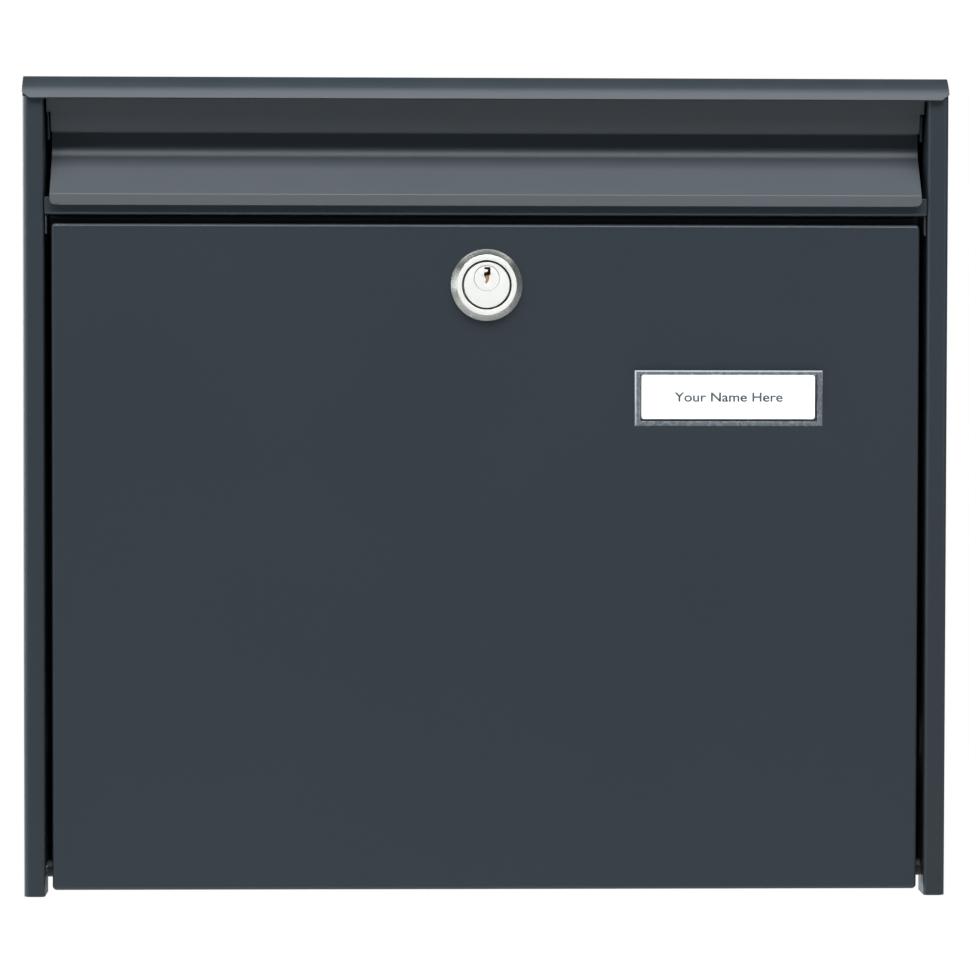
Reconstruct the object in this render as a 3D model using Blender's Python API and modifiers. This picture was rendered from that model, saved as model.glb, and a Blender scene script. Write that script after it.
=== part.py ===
"""Wall mounted mailbox in folded sheet steel: a housing with a roof, a top-hinged letter flap, a drop-down
door with a cam lock, and a nameplate.

Metres, +Z up. The origin is the centre of the housing's back face, in the wall's plane. The front faces -Y,
so a distance out from the wall is written as `out` and its Y is -out. +X is to the right, seen from the front.
"""

import math

import bmesh
import bpy
from mathutils import Matrix, Vector

MM = 0.001

# Overall size, in millimetres as every other size here.
WIDTH = 362.0
HEIGHT = 322.0
DEPTH = 100.0
SHEET = 0.8
GAP = 0.3

HALF = WIDTH / 2
TOP = HEIGHT / 2
BOTTOM = -HEIGHT / 2

# Housing.
REAR_SKIN = SHEET + GAP
WALL_FRONT = 98.0
OPENING = 172.7
RETURN_END = 82.0
REAR_FLANGE = 166.0
WALL_RADIUS = 2.8
RETURN_RADIUS = 1.5
ROOF_FALL = 0.95
CREST = (91.0, TOP - ROOF_FALL)
CREST_PULL = (94.65, TOP - 2.75)
CREASE = (97.5, 155.0)
LIP_END = (DEPTH, 151.4)
LIP_CORNER = 3.0
ROOF_REAR_FLANGE = 13.0
FLANGE_TOP = 152.0
RETURN_TOP = 155.6
RETURN_TOP_FRONT = 94.5
SHELF_WIDTH = 12.0
SHELF_ENDS = (4.0, 84.0)
FLOOR_SIDE_RISE = 10.0
FLOOR_LIP_RISE = 6.0
FLOOR_UNDERSIDE = -153.2
FLOOR_FRONT = 77.0
SCREW_HOLE_RADIUS = 3.5
SCREW_HOLES = (140.0, 110.0)

# How long a cutter is, so that it passes right through the sheet or the body it cuts.
THROUGH_SHEET = 4.0
THROUGH_FOLD = 6.0
THROUGH_LOCK = 30.0

# Slot and flap.
CROSSBAR_UNDERSIDE = 106.1
CROSSBAR_LIP_TOP = 112.9
CROSSBAR_FRONT = 97.3
CROSSBAR_BACK = 79.5
STRIKE_BOTTOM = 98.0
CROSSBAR_BEND = 1.0
CROSSBAR_TAB_DROP = 7.5
FLAP_PIVOT = (90.0, 152.5)
FLAP_HALF = 170.3
FLAP_TOP_HALF = 171.9
FLAP_CORNER = 2.5
FLAP_PIN_END = 168.5

# The flap's front surface as (out, height): the lip, the slope, the hollow, the fold under, and the strip.
FLAP_LINE = (
    (DEPTH, 109.7),
    (98.6, 114.1),
    (85.3, 130.6),
    (84.6, 139.6),
    (90.6, 138.6),
    (92.6, 146.1),
    (94.6, 154.0),
)
FLAP_BENDS = (0.0, 8.0, 0.0, 0.0, 0.0)
FLAP_EAR = (
    (92.5, 156.0),
    (86.0, 156.0),
    (83.9, 152.0),
    (83.9, 135.6),
    (86.6, 135.6),
    (86.6, 143.5),
    (89.2, 146.1),
)

# Door.
DOOR_HALF = 169.9
DOOR_TOP = 102.7
DOOR_BOTTOM = -158.6
DOOR_FRONT = 96.5
DOOR_DEPTH = 13.5
DOOR_PIVOT = (87.0, -151.0)
DOOR_BEND = 1.2
PIN_RADIUS = 1.5
PIN_HOLE_RADIUS = 1.8
PIN_HEAD = (2.8, 1.2)
DOOR_PIN_END = 166.8
SPACER_RADIUS = 3.4

# Lock.
LOCK_HEIGHT = 78.9
PLUG_HEIGHT = 81.5
RING_BORE = 9.5
RING_SHOULDER = 11.6
RING_RADIUS = 14.1
RING_FRONT = 99.8
RING_STEP = 0.3
HOUSING_RADIUS = 9.0
HOUSING_FRONT = 99.2
HOUSING_BACK = 81.0
TURNED_EDGE = 0.2
GROOVE_RADIUS = 7.7
GROOVE_WIDTH = 1.6
PLUG_RADIUS = 4.95
PLUG_FRONT = 99.0
PLUG_SHOULDER = 79.2
TAIL_RADIUS = 2.6
TAIL_END = 75.9
KEYWAY_ACROSS = (-0.7, 0.9)
KEYWAY_UP = (-1.9, 4.1)
KEYWAY_BACK = 86.0
WARD_ACROSS = (0.5, 1.4)
WARD_UP = (2.0, 3.8)
WARD_BACK = 86.5
KEYWAY_MOUTH = 101.0
CLIP_HALF = 13.0
CLIP_TOP = 11.0
CLIP_THICKNESS = 1.0
CLIP_THROAT = 8.0
CAM_BACK = 76.5
CAM_THICKNESS = 1.5
CAM_LENGTH = 28.3
CAM_HALF = 6.5
CAM_CORNER = 4.0
SCREW_HEAD = (4.0, 3.0)
SCREW_HEAD_RIM = 1.2
SCREW_HEAD_HEIGHT = 2.2
SCREW_SLOT = 0.5

# Nameplate.
PLATE_CENTRE = (94.8, 34.8)
PLATE_SIZE = (73.6, 21.7)
PLATE_FRONT = 99.9
PLATE_THICKNESS = 0.8
PLATE_RIM = 1.7
WINDOW = 1.0
CARD_SIZE = (68.2, 17.4)
CARD_THICKNESS = 0.3
PEG_SPACING = 56.0
PEG_RADIUS = 1.5
PEG_LENGTH = 3.0
PEG_SUNK = 0.4
PEG_HOLE_RADIUS = 1.8


def clear_scene():
    for thing in list(bpy.data.objects):
        bpy.data.objects.remove(thing)


def new_collection(name):
    collection = bpy.data.collections.new(name)
    bpy.context.scene.collection.children.link(collection)
    return collection


clear_scene()
PARTS = new_collection("wall_mounted_mailbox")
CUTTERS = new_collection("cutters")


# Materials ------------------------------------------------------------------------------------------------


def finish(name, colour, roughness, metallic, alpha=1.0):
    material = bpy.data.materials.new(name)
    material.use_nodes = True
    shader = material.node_tree.nodes["Principled BSDF"]
    shader.inputs["Base Color"].default_value = (*colour, 1.0)
    shader.inputs["Roughness"].default_value = roughness
    shader.inputs["Metallic"].default_value = metallic
    shader.inputs["Alpha"].default_value = alpha
    return material


POWDER_COAT = finish("anthracite_powder_coat", (0.036, 0.046, 0.056), 0.42, 0.0)
NICKEL = finish("satin_nickel", (0.60, 0.59, 0.56), 0.28, 1.0)
BRASS = finish("nickelled_brass", (0.74, 0.72, 0.68), 0.24, 1.0)
ZINC = finish("zinc_plated_steel", (0.52, 0.53, 0.55), 0.38, 1.0)
NYLON = finish("black_nylon", (0.02, 0.02, 0.02), 0.50, 0.0)
PAPER = finish("white_card", (0.86, 0.86, 0.85), 0.80, 0.0)
CLEAR = finish("clear_plastic", (0.92, 0.94, 0.95), 0.08, 0.0, 0.35)


# Making objects -------------------------------------------------------------------------------------------


def place(out, height, x=0.0):
    """The point at this distance out from the wall."""
    return Vector((x, -out, height)) * MM


def add_object(name, mesh, material, collection=None):
    thing = bpy.data.objects.new(name, mesh)
    (collection or PARTS).objects.link(thing)
    if material:
        mesh.materials.append(material)
    return thing


def mesh_of(name, work):
    mesh = bpy.data.meshes.new(name)
    work.to_mesh(mesh)
    work.free()
    return mesh


def set_origin(thing, point):
    """Moves the object's origin to this point, and leaves its shape where it is."""
    thing.data.transform(Matrix.Translation(-point))
    thing.location = point


def thicken(thing, thickness=SHEET):
    """Gives an open outer skin the sheet's thickness, inwards."""
    shell = thing.modifiers.new("sheet", "SOLIDIFY")
    shell.thickness = thickness * MM
    shell.offset = -1.0
    shell.use_even_offset = True


def cut(thing, cutter):
    hole = thing.modifiers.new(cutter.name, "BOOLEAN")
    hole.operation = "DIFFERENCE"
    hole.object = cutter


def as_cutter(name, mesh):
    cutter = add_object(name, mesh, None, CUTTERS)
    cutter.hide_render = True
    cutter.display_type = "WIRE"
    return cutter


def rounded(path, radii, segments=3):
    """The path with its inner corners turned into arcs. A radius of zero keeps a corner sharp."""
    points = [Vector(path[0])]
    for before, corner, after, radius in zip(path, path[1:], path[2:], radii):
        corner = Vector(corner)
        if not radius:
            points.append(corner)
            continue
        back = (Vector(before) - corner).normalized()
        ahead = (Vector(after) - corner).normalized()
        half_angle = back.angle(ahead) / 2
        centre = corner + (back + ahead).normalized() * radius / math.sin(half_angle)
        start = corner + back * radius / math.tan(half_angle) - centre
        turn = start.angle_signed(corner + ahead * radius / math.tan(half_angle) - centre)
        for step in range(segments + 1):
            angle = -turn * step / segments
            spun = Vector(
                (
                    start.x * math.cos(angle) - start.y * math.sin(angle),
                    start.x * math.sin(angle) + start.y * math.cos(angle),
                )
            )
            points.append(centre + spun)
    points.append(Vector(path[-1]))
    return points


def skin_grid(work, rows):
    """Joins rows of points into faces. The rows run along +X for a profile that goes up the front."""
    made = [[work.verts.new(point) for point in row] for row in rows]
    for low, high in zip(made, made[1:]):
        for a, b, c, d in zip(low, low[1:], high[1:], high):
            work.faces.new((a, b, c, d))
    return made


def block(work, low, high):
    """A box between two corners given as (x, out, height)."""
    size = [abs(b - a) * MM for a, b in zip(low, high)]
    middle = place((low[1] + high[1]) / 2, (low[2] + high[2]) / 2, (low[0] + high[0]) / 2)
    bmesh.ops.create_cube(work, size=1.0, matrix=Matrix.Translation(middle) @ Matrix.Diagonal((*size, 1.0)))


def rod(work, centre, radius, length, axis, sides=24):
    """A cylinder about a point given as (x, out, height), along X or out from the wall."""
    turn = Matrix.Rotation(math.pi / 2, 4, "Y" if axis == "X" else "X")
    move = Matrix.Translation(place(centre[1], centre[2], centre[0]))
    bmesh.ops.create_cone(
        work,
        cap_ends=True,
        segments=sides,
        radius1=radius * MM,
        radius2=radius * MM,
        depth=length * MM,
        matrix=move @ turn,
    )


def rod_cutter(name, centre, radius, length, axis, sides=24):
    work = bmesh.new()
    rod(work, centre, radius, length, axis, sides)
    return as_cutter(name, mesh_of(name, work))


def block_cutter(name, low, high):
    work = bmesh.new()
    block(work, low, high)
    return as_cutter(name, mesh_of(name, work))


def turned(name, profile, centre, axis, material, sides=32, closed=False, cuts=()):
    """A turned piece. profile holds (radius, along) from its outer end, down its outer side.

    along is measured from the centre, to the right for an X axis and out from the wall for a Y axis.
    """
    work = bmesh.new()
    points = [work.verts.new((radius * MM, 0.0, along * MM)) for radius, along in profile]
    for a, b in zip(points, points[1:] + points[:1] if closed else points[1:]):
        work.edges.new((a, b))
    thing = add_object(name, mesh_of(name, work), material)
    spin = thing.modifiers.new("turn", "SCREW")
    spin.axis = "Z"
    spin.steps = sides
    spin.render_steps = sides
    spin.use_merge_vertices = True
    spin.merge_threshold = 0.00001
    thing.rotation_euler = (0.0, math.pi / 2, 0.0) if axis == "X" else (math.pi / 2, 0.0, 0.0)
    thing.location = place(centre[1], centre[2], centre[0])
    for cutter in cuts:
        cut(thing, cutter)
    return thing


# Housing --------------------------------------------------------------------------------------------------


def roof_line():
    """The roof's outer skin from the lip's lower edge over the crest to the back: (out, height)."""
    steps = 5
    crease, pull, crest = Vector(CREASE), Vector(CREST_PULL), Vector(CREST)
    line = [Vector(LIP_END)]
    for step in range(steps + 1):
        t = step / steps
        line.append(crease * (1 - t) ** 2 + pull * 2 * t * (1 - t) + crest * t**2)
    line.append(Vector((REAR_SKIN, TOP)))
    return line


def under_roof(out):
    """The height of the housing's top edge at this distance out: one sheet and one gap below the roof."""
    line = roof_line()[::-1]
    for a, b in zip(line, line[1:]):
        if a.x <= out <= b.x:
            height = a.y + (b.y - a.y) * (out - a.x) / (b.x - a.x)
            slope = math.atan2(a.y - b.y, b.x - a.x)
            return height - (SHEET + GAP) / math.cos(slope)
    return FLANGE_TOP


def side_wall(name, side):
    """A wall with a flange behind the back panel's edge, a top flange, and a front flange that turns back."""
    corners = [
        (OPENING, RETURN_END),
        (OPENING, WALL_FRONT),
        (HALF, WALL_FRONT),
        (HALF, REAR_SKIN),
        (REAR_FLANGE, REAR_SKIN),
    ]
    plan = rounded(corners, [RETURN_RADIUS, WALL_RADIUS, 1.0])
    roof_stops = [95.0, 94.0, 93.0, 91.0, *SHELF_ENDS[::-1]]
    after_bend = max(i for i, point in enumerate(plan) if point.y > 95.0)
    plan[after_bend + 1 : after_bend + 1] = [Vector((HALF, out)) for out in roof_stops]
    plan.insert(1, Vector((OPENING, RETURN_TOP_FRONT)))
    tops = []
    for x, out in plan:
        if x > HALF - 0.01:
            tops.append(under_roof(out))
        else:
            on_return = x < OPENING + 0.01 and RETURN_END <= out <= RETURN_TOP_FRONT
            tops.append(RETURN_TOP if on_return else FLANGE_TOP)
    work = bmesh.new()
    low = [work.verts.new(place(out, BOTTOM, side * x)) for x, out in plan]
    high = [work.verts.new(place(out, top, side * x)) for (x, out), top in zip(plan, tops)]
    faces = list(zip(low, low[1:], high[1:], high))
    outer = [
        vert for vert, (x, out) in zip(high, plan) if x > HALF - 0.01 and SHELF_ENDS[0] <= out <= SHELF_ENDS[1]
    ]
    inner = [work.verts.new(vert.co - Vector((side * SHELF_WIDTH * MM, 0.0, 0.0))) for vert in outer]
    faces += list(zip(outer, outer[1:], inner[1:], inner))
    for face in faces:
        work.faces.new(face if side > 0 else face[::-1])
    thing = add_object(name, mesh_of(name, work), POWDER_COAT)
    thicken(thing)
    for pivot in (FLAP_PIVOT, DOOR_PIVOT):
        centre = (side * OPENING, *pivot)
        hole = f"{name}_pin_hole_{pivot[1]:.0f}"
        cut(thing, rod_cutter(hole, centre, PIN_HOLE_RADIUS, THROUGH_FOLD, "X", 16))
    return thing


def roof_panel():
    line = roof_line()
    work = bmesh.new()
    inner = REAR_FLANGE - 0.5
    rows = []
    for i, (out, height) in enumerate(line):
        half = HALF - LIP_CORNER if i == 0 else HALF
        rows.append([place(out, height, x) for x in (-half, -inner, inner, half)])
        if i == 0:
            ratio = LIP_CORNER / (line[1] - line[0]).length
            point = line[0].lerp(line[1], ratio)
            rows.append([place(*point, x) for x in (-HALF, -inner, inner, HALF)])
    made = skin_grid(work, rows)
    back = [work.verts.new(place(REAR_SKIN, TOP - ROOF_REAR_FLANGE, x)) for x in (-inner, inner)]
    work.faces.new((made[-1][1], made[-1][2], back[1], back[0]))
    thing = add_object("roof_panel", mesh_of("roof_panel", work), POWDER_COAT)
    thicken(thing)
    return thing


def back_panel():
    work = bmesh.new()
    block(work, (-HALF + GAP, 0.0, BOTTOM), (HALF - GAP, SHEET, TOP - GAP))
    thing = add_object("back_panel", mesh_of("back_panel", work), POWDER_COAT)
    across, up = SCREW_HOLES
    holes = bmesh.new()
    for x in (-across, across):
        for height in (-up, up):
            rod(holes, (x, SHEET / 2, height), SCREW_HOLE_RADIUS, THROUGH_SHEET, "Y", 24)
    cut(thing, as_cutter("wall_screw_holes", mesh_of("wall_screw_holes", holes)))
    return thing


def floor_panel():
    """A tray with a lip at the front, sides turned up against the walls and a flange at the back."""
    side = HALF - SHEET - GAP
    inner = REAR_FLANGE - 0.5
    rear = REAR_SKIN + SHEET + GAP
    front = FLOOR_FRONT - 2.0
    work = bmesh.new()
    outs = (REAR_SKIN, rear, front, FLOOR_FRONT)
    grid = [
        [work.verts.new(place(out, FLOOR_UNDERSIDE, x)) for x in (-side, -inner, inner, side)] for out in outs
    ]
    for row, (near, far) in enumerate(zip(grid, grid[1:])):
        columns = (0, 1, 2) if row == 1 else (1,)
        for i in columns:
            work.faces.new((near[i], near[i + 1], far[i + 1], far[i]))
    for column, order in ((0, 1), (3, -1)):
        edge = [grid[1][column], grid[2][column]]
        up = [work.verts.new(v.co + Vector((0.0, 0.0, FLOOR_SIDE_RISE * MM))) for v in edge]
        face = (edge[0], edge[1], up[1], up[0])
        work.faces.new(face[::order])
    for row, order in ((0, -1), (3, 1)):
        edge = [grid[row][1], grid[row][2]]
        rise = FLOOR_SIDE_RISE if row == 0 else FLOOR_LIP_RISE
        up = [work.verts.new(v.co + Vector((0.0, 0.0, rise * MM))) for v in edge]
        face = (edge[0], edge[1], up[1], up[0])
        work.faces.new(face[::order])
    thing = add_object("floor_panel", mesh_of("floor_panel", work), POWDER_COAT)
    thicken(thing)
    return thing


def slot_crossbar():
    """A Z-shaped bar: a lip at the front, a ledge, and a leg at the back that the lock's cam goes behind."""
    half = OPENING - GAP
    path = [
        (CROSSBAR_BACK, STRIKE_BOTTOM),
        (CROSSBAR_BACK, CROSSBAR_UNDERSIDE),
        (CROSSBAR_FRONT, CROSSBAR_UNDERSIDE),
        (CROSSBAR_FRONT, CROSSBAR_LIP_TOP),
    ]
    profile = rounded(path, [CROSSBAR_BEND, CROSSBAR_BEND])
    rows = []
    for out, height in profile:
        end = half if out > CROSSBAR_FRONT - SHEET else half - SHEET
        rows.append([place(out, height, x) for x in (-end, end)])
    work = bmesh.new()
    made = skin_grid(work, rows)
    web = [i for i, (out, height) in enumerate(profile) if abs(height - CROSSBAR_UNDERSIDE) < 0.01]
    for column, order in ((0, 1), (1, -1)):
        edge = [made[web[0]][column], made[web[-1]][column]]
        down = [work.verts.new(v.co - Vector((0.0, 0.0, CROSSBAR_TAB_DROP * MM))) for v in edge]
        face = (edge[0], edge[1], down[1], down[0])
        work.faces.new(face[::order])
    thing = add_object("slot_crossbar", mesh_of("slot_crossbar", work), POWDER_COAT)
    thicken(thing)
    return thing


# Flap -----------------------------------------------------------------------------------------------------


def letter_flap():
    """One sheet: a lip, a hollow slope, a fold under, and a wider strip with an ear at each end."""
    line = rounded(FLAP_LINE, FLAP_BENDS)
    line.insert(1, line[0].lerp(line[1], FLAP_CORNER / (line[1] - line[0]).length))
    inner = FLAP_HALF - FLAP_CORNER - 0.5
    rows = []
    for i, (out, height) in enumerate(line):
        half = FLAP_HALF - FLAP_CORNER if i == 0 else FLAP_HALF
        rows.append([place(out, height, x) for x in (-half, -inner, inner, half)])
    work = bmesh.new()
    strip = skin_grid(work, rows)[-2:]
    for column, side in ((0, -1), (-1, 1)):
        edge = [row[column] for row in strip]
        ends = [work.verts.new(place(out, height, side * FLAP_TOP_HALF)) for out, height in line[-2:]]
        work.faces.new((edge[0], ends[0], ends[1], edge[1])[::side])
        ear = [work.verts.new(place(out, height, side * FLAP_TOP_HALF)) for out, height in FLAP_EAR]
        work.faces.new((*ends, *ear)[::-side])
    thing = add_object("letter_flap", mesh_of("letter_flap", work), POWDER_COAT)
    set_origin(thing, place(*FLAP_PIVOT))
    thicken(thing)
    for side in (-1, 1):
        centre = (side * FLAP_TOP_HALF, *FLAP_PIVOT)
        cut(thing, rod_cutter(f"flap_pin_hole_{side}", centre, PIN_HOLE_RADIUS, THROUGH_SHEET, "X", 16))
    return thing


def pivot_pin(name, side, pivot, inner_end):
    """A headed pin through the wall's return, with its head hidden behind it."""
    head = OPENING + SHEET + GAP
    radius, height = PIN_HEAD
    profile = [
        (0.0, head + height),
        (radius, head + height),
        (radius, head),
        (PIN_RADIUS, head),
        (PIN_RADIUS, inner_end),
        (0.0, inner_end),
    ]
    if side < 0:
        profile = [(radius, -along) for radius, along in profile[::-1]]
    return turned(name, profile, (0.0, *pivot), "X", ZINC, 16)


# Door -----------------------------------------------------------------------------------------------------


def door_panel():
    """A shallow pan, open at the back, that turns on the pins at its lower corners."""
    work = bmesh.new()
    block(work, (-DOOR_HALF, DOOR_FRONT - DOOR_DEPTH, DOOR_BOTTOM), (DOOR_HALF, DOOR_FRONT, DOOR_TOP))
    work.faces.ensure_lookup_table()
    back = max(work.faces, key=lambda face: face.calc_center_median().y)
    work.faces.remove(back)
    front = min(work.faces, key=lambda face: face.calc_center_median().y)
    bmesh.ops.bevel(
        work,
        geom=list(front.edges),
        offset=DOOR_BEND * MM,
        offset_type="OFFSET",
        segments=3,
        profile=0.5,
        affect="EDGES",
    )
    thing = add_object("door_panel", mesh_of("door_panel", work), POWDER_COAT)
    set_origin(thing, place(*DOOR_PIVOT))
    thicken(thing)
    middle = (0.0, DOOR_FRONT, LOCK_HEIGHT)
    cut(thing, rod_cutter("lock_hole", middle, HOUSING_RADIUS + GAP, THROUGH_FOLD, "Y", 32))
    for side in (-1, 1):
        peg = (PLATE_CENTRE[0] + side * PEG_SPACING / 2, DOOR_FRONT, PLATE_CENTRE[1])
        cut(thing, rod_cutter(f"peg_hole_{side}", peg, PEG_HOLE_RADIUS, THROUGH_FOLD, "Y", 16))
        pin = (side * DOOR_HALF, *DOOR_PIVOT)
        cut(thing, rod_cutter(f"door_pin_hole_{side}", pin, PIN_HOLE_RADIUS, THROUGH_SHEET, "X", 16))
    return thing


def door_spacer(name, side):
    """A nylon washer that keeps the door clear of the wall's return."""
    inner = DOOR_HALF + GAP
    outer = OPENING - GAP
    profile = [
        (PIN_HOLE_RADIUS, outer),
        (SPACER_RADIUS, outer),
        (SPACER_RADIUS, inner),
        (PIN_HOLE_RADIUS, inner),
    ]
    if side < 0:
        profile = [(radius, -along) for radius, along in profile[::-1]]
    return turned(name, profile, (0.0, *DOOR_PIVOT), "X", NYLON, 20, closed=True)


# Lock -----------------------------------------------------------------------------------------------------


def lock_rosette():
    back = DOOR_FRONT + GAP
    profile = [
        (RING_BORE, RING_FRONT),
        (RING_SHOULDER, RING_FRONT),
        (RING_RADIUS, back + RING_STEP),
        (RING_RADIUS, back),
        (RING_BORE, back),
    ]
    return turned("lock_rosette", profile, (0.0, 0.0, LOCK_HEIGHT), "Y", NICKEL, 48, closed=True)


def lock_housing():
    """A turned body with a groove behind the door for its clip, and an off-centre bore for the plug."""
    groove = DOOR_FRONT - SHEET - GAP
    profile = [
        (0.0, HOUSING_FRONT),
        (HOUSING_RADIUS - TURNED_EDGE, HOUSING_FRONT),
        (HOUSING_RADIUS, HOUSING_FRONT - TURNED_EDGE),
        (HOUSING_RADIUS, groove),
        (GROOVE_RADIUS, groove),
        (GROOVE_RADIUS, groove - GROOVE_WIDTH),
        (HOUSING_RADIUS, groove - GROOVE_WIDTH),
        (HOUSING_RADIUS, HOUSING_BACK),
        (0.0, HOUSING_BACK),
    ]
    bore = rod_cutter("plug_bore", (0.0, 90.0, PLUG_HEIGHT), PLUG_RADIUS + GAP, THROUGH_LOCK, "Y", 32)
    centre = (0.0, 0.0, LOCK_HEIGHT)
    return turned("lock_housing", profile, centre, "Y", BRASS, 40, cuts=[bore])


def lock_retaining_clip():
    """A spring plate pushed up into the housing's groove from below."""
    front = DOOR_FRONT - SHEET - 2 * GAP
    back = front - CLIP_THICKNESS
    low, high = LOCK_HEIGHT - CLIP_HALF, LOCK_HEIGHT + CLIP_TOP
    work = bmesh.new()
    block(work, (-CLIP_HALF, back, low), (CLIP_HALF, front, high))
    thing = add_object("lock_retaining_clip", mesh_of("lock_retaining_clip", work), ZINC)
    middle = (front + back) / 2
    throat = rod_cutter("clip_throat", (0.0, middle, LOCK_HEIGHT), CLIP_THROAT, THROUGH_SHEET, "Y", 32)
    mouth_low = (-CLIP_THROAT, middle - THROUGH_SHEET / 2, low - THROUGH_SHEET)
    mouth_high = (CLIP_THROAT, middle + THROUGH_SHEET / 2, LOCK_HEIGHT)
    cut(thing, throat)
    cut(thing, block_cutter("clip_mouth", mouth_low, mouth_high))
    return thing


def lock_plug():
    """The plug that the key turns, with a round tail for the cam."""
    profile = [
        (0.0, PLUG_FRONT),
        (PLUG_RADIUS - TURNED_EDGE, PLUG_FRONT),
        (PLUG_RADIUS, PLUG_FRONT - TURNED_EDGE),
        (PLUG_RADIUS, PLUG_SHOULDER),
        (TAIL_RADIUS, PLUG_SHOULDER),
        (TAIL_RADIUS, TAIL_END),
        (0.0, TAIL_END),
    ]
    (left, right), (down, up) = KEYWAY_ACROSS, KEYWAY_UP
    low, high = (left, KEYWAY_BACK, PLUG_HEIGHT + down), (right, KEYWAY_MOUTH, PLUG_HEIGHT + up)
    keyway = block_cutter("keyway", low, high)
    (left, right), (down, up) = WARD_ACROSS, WARD_UP
    low, high = (left, WARD_BACK, PLUG_HEIGHT + down), (right, KEYWAY_MOUTH + GAP, PLUG_HEIGHT + up)
    ward = block_cutter("keyway_ward", low, high)
    centre = (0.0, 0.0, PLUG_HEIGHT)
    return turned("lock_plug", profile, centre, "Y", BRASS, 32, cuts=[keyway, ward])


def lock_cam():
    """A flat arm on the plug's tail. At rest it points to the left, so the door is free to open."""
    front = CAM_BACK + CAM_THICKNESS
    work = bmesh.new()
    block(work, (-CAM_LENGTH, CAM_BACK, PLUG_HEIGHT - CAM_HALF), (CAM_HALF, front, PLUG_HEIGHT + CAM_HALF))
    upright = [
        edge for edge in work.edges if abs((edge.verts[0].co - edge.verts[1].co).normalized().y) > 0.9
    ]
    bmesh.ops.bevel(
        work,
        geom=upright,
        offset=CAM_CORNER * MM,
        offset_type="OFFSET",
        segments=4,
        profile=0.5,
        affect="EDGES",
    )
    thing = add_object("lock_cam", mesh_of("lock_cam", work), ZINC)
    set_origin(thing, place(CAM_BACK, PLUG_HEIGHT))
    hole = rod_cutter("cam_hole", (0.0, CAM_BACK, PLUG_HEIGHT), TAIL_RADIUS + GAP, THROUGH_FOLD, "Y", 24)
    cut(thing, hole)
    return thing


def lock_cam_screw():
    """A pan-head screw against the cam's back."""
    front = TAIL_END - GAP
    wide, narrow = SCREW_HEAD
    rim, back = front - SCREW_HEAD_RIM, front - SCREW_HEAD_HEIGHT
    profile = [(0.0, front), (wide, front), (wide, rim), (narrow, back), (0.0, back)]
    low = (-wide - 1.0, back - 1.0, PLUG_HEIGHT - SCREW_SLOT)
    high = (wide + 1.0, rim, PLUG_HEIGHT + SCREW_SLOT)
    slot = block_cutter("screw_slot", low, high)
    return turned("lock_cam_screw", profile, (0.0, 0.0, PLUG_HEIGHT), "Y", ZINC, 24, cuts=[slot])


# Nameplate ------------------------------------------------------------------------------------------------


def plate_box(name, size, back, front, material):
    across, up = size[0] / 2, size[1] / 2
    x, height = PLATE_CENTRE
    work = bmesh.new()
    block(work, (x - across, back, height - up), (x + across, front, height + up))
    return add_object(name, mesh_of(name, work), material)


def nameplate_base():
    """A flat plate with two pegs that snap into the door."""
    back = DOOR_FRONT + GAP
    thing = plate_box("nameplate_base", PLATE_SIZE, back, back + PLATE_THICKNESS, CLEAR)
    pegs = bmesh.new()
    for side in (-1, 1):
        out = back + PEG_SUNK - PEG_LENGTH / 2
        middle = (PLATE_CENTRE[0] + side * PEG_SPACING / 2, out, PLATE_CENTRE[1])
        rod(pegs, middle, PEG_RADIUS, PEG_LENGTH, "Y", 16)
    both = as_cutter("nameplate_pegs", mesh_of("nameplate_pegs", pegs))
    joined = thing.modifiers.new("pegs", "BOOLEAN")
    joined.operation = "UNION"
    joined.object = both
    return thing


def nameplate_cover():
    """A clear cap over the card: a window with a rim turned back all round it."""
    back = DOOR_FRONT + 2 * GAP + PLATE_THICKNESS
    thing = plate_box("nameplate_cover", PLATE_SIZE, back, PLATE_FRONT, CLEAR)
    x, height = PLATE_CENTRE
    across, up = PLATE_SIZE[0] / 2 - PLATE_RIM, PLATE_SIZE[1] / 2 - PLATE_RIM
    low = (x - across, back - 2.0, height - up)
    high = (x + across, PLATE_FRONT - WINDOW, height + up)
    cut(thing, block_cutter("card_pocket", low, high))
    return thing


def name_card():
    back = DOOR_FRONT + 2 * GAP + PLATE_THICKNESS
    return plate_box("name_card", CARD_SIZE, back, back + CARD_THICKNESS, PAPER)


# Assembly -------------------------------------------------------------------------------------------------

back_panel()
side_wall("left_side_wall", -1)
side_wall("right_side_wall", 1)
roof_panel()
floor_panel()
slot_crossbar()
letter_flap()
door_panel()
for side_name, side_sign in (("left", -1), ("right", 1)):
    pivot_pin(f"flap_pivot_{side_name}", side_sign, FLAP_PIVOT, FLAP_PIN_END)
    pivot_pin(f"door_pivot_{side_name}", side_sign, DOOR_PIVOT, DOOR_PIN_END)
    door_spacer(f"door_spacer_{side_name}", side_sign)
lock_rosette()
lock_housing()
lock_retaining_clip()
lock_plug()
lock_cam()
lock_cam_screw()
nameplate_base()
name_card()
nameplate_cover()
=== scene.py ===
"""A wall mounted mailbox in folded and powder coated sheet steel, built up as it is put together."""

import math

import bmesh
import bpy
from mathutils import Matrix, Vector


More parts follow.
